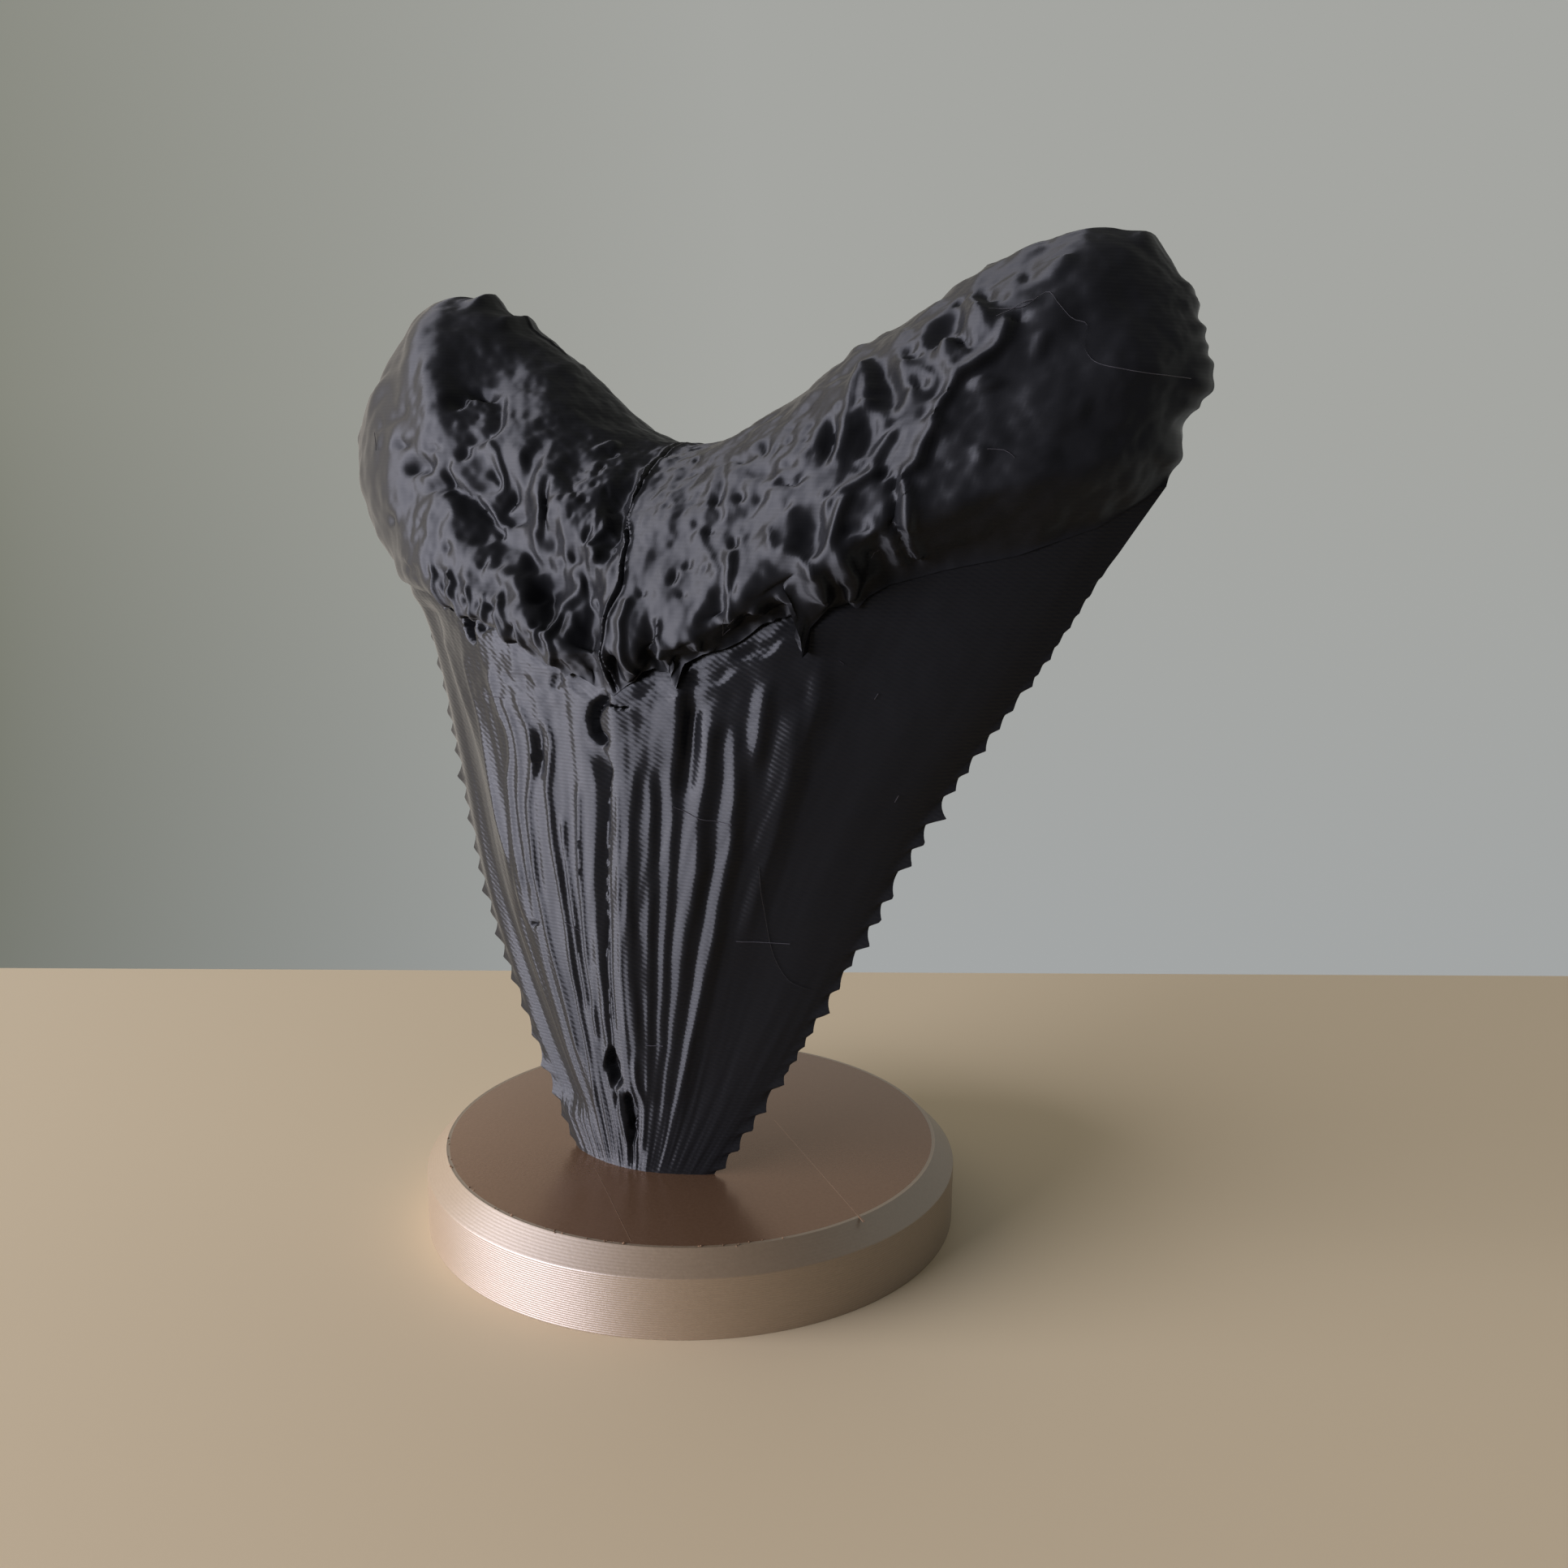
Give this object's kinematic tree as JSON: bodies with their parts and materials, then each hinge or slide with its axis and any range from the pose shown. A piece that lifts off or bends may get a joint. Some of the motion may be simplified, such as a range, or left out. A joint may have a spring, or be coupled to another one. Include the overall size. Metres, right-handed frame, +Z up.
{
  "type": "fossil shark tooth on a display disc",
  "caption": "Broad triangular shark tooth with serrated edges, fluted crown and two-lobed root, standing tip down in a round chamfered display disc.",
  "frame": {"origin": "centre of the disc's flat underside, which rests on the table", "axes": "+Z up from the table, -Y the tooth's bulging fluted front, +X towards its longer root lobe"},
  "size_m": [0.0821, 0.05, 0.0893],
  "materials": {
    "tooth_black": "glossy black, printed in fine layers",
    "disc_bronze": "satin metallic bronze, printed in fine layers"
  },
  "bodies": {
    "root": {"tooth": "tooth_black", "base_disc": "disc_bronze"}
  },
  "joints": []
}
